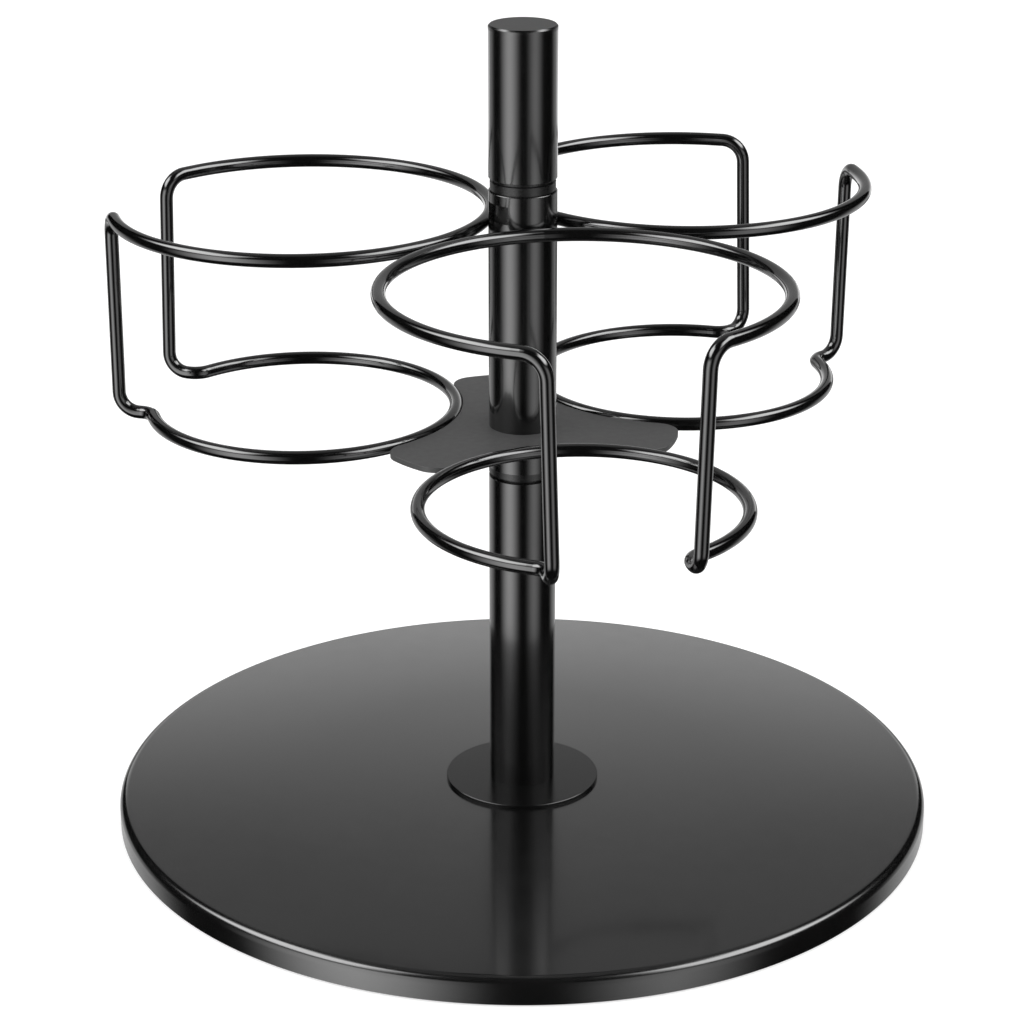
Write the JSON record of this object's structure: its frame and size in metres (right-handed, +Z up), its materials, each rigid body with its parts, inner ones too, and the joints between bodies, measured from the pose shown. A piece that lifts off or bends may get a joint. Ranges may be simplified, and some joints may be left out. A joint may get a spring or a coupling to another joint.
{
  "type": "airbrush holder stand",
  "caption": "Round weighted base with a post and a turning carousel of wire cages, each an upper and a lower ring open at the outer side.",
  "frame": {"origin": "on the floor under the post's axis", "axes": "+Z up along the post, -Y towards the front cage, +X to the right seen from the front"},
  "size_m": [0.236, 0.236, 0.2316],
  "materials": {
    "gloss_black_base": "gloss",
    "gloss_black_tube": "gloss",
    "gloss_black_wire": "gloss",
    "satin_black_plate": "satin",
    "black_nylon": "satin",
    "zinc_steel": "satin",
    "ballast_iron": "rough",
    "pad_rubber": "matte"
  },
  "bodies": {
    "stand": {"anti_slip_pad": "pad_rubber", "base_cover": "gloss_black_base", "ballast_plate": "ballast_iron", "base_screw": "zinc_steel", "post_flange": "satin_black_plate", "foot_plug": "zinc_steel", "lower_post": "gloss_black_tube", "head_plug": "zinc_steel", "spindle": "zinc_steel", "lower_thrust_washer": "black_nylon", "upper_thrust_washer": "black_nylon", "top_post_plug": "zinc_steel", "top_post": "gloss_black_tube", "end_cap": "satin_black_plate"},
    "carousel": {"lower_bush": "black_nylon", "upper_bush": "black_nylon", "carousel_sleeve": "gloss_black_tube", "carrier_plate": "satin_black_plate", "cage_front": "gloss_black_wire", "cage_left": "gloss_black_wire", "cage_right": "gloss_black_wire"}
  },
  "joints": [
    {"name": "carousel_spin", "type": "hinge", "parent": "stand", "child": "carousel", "pos_m": [0, 0, 0.1462], "axis": [0, 0, 1], "continuous": true}
  ]
}
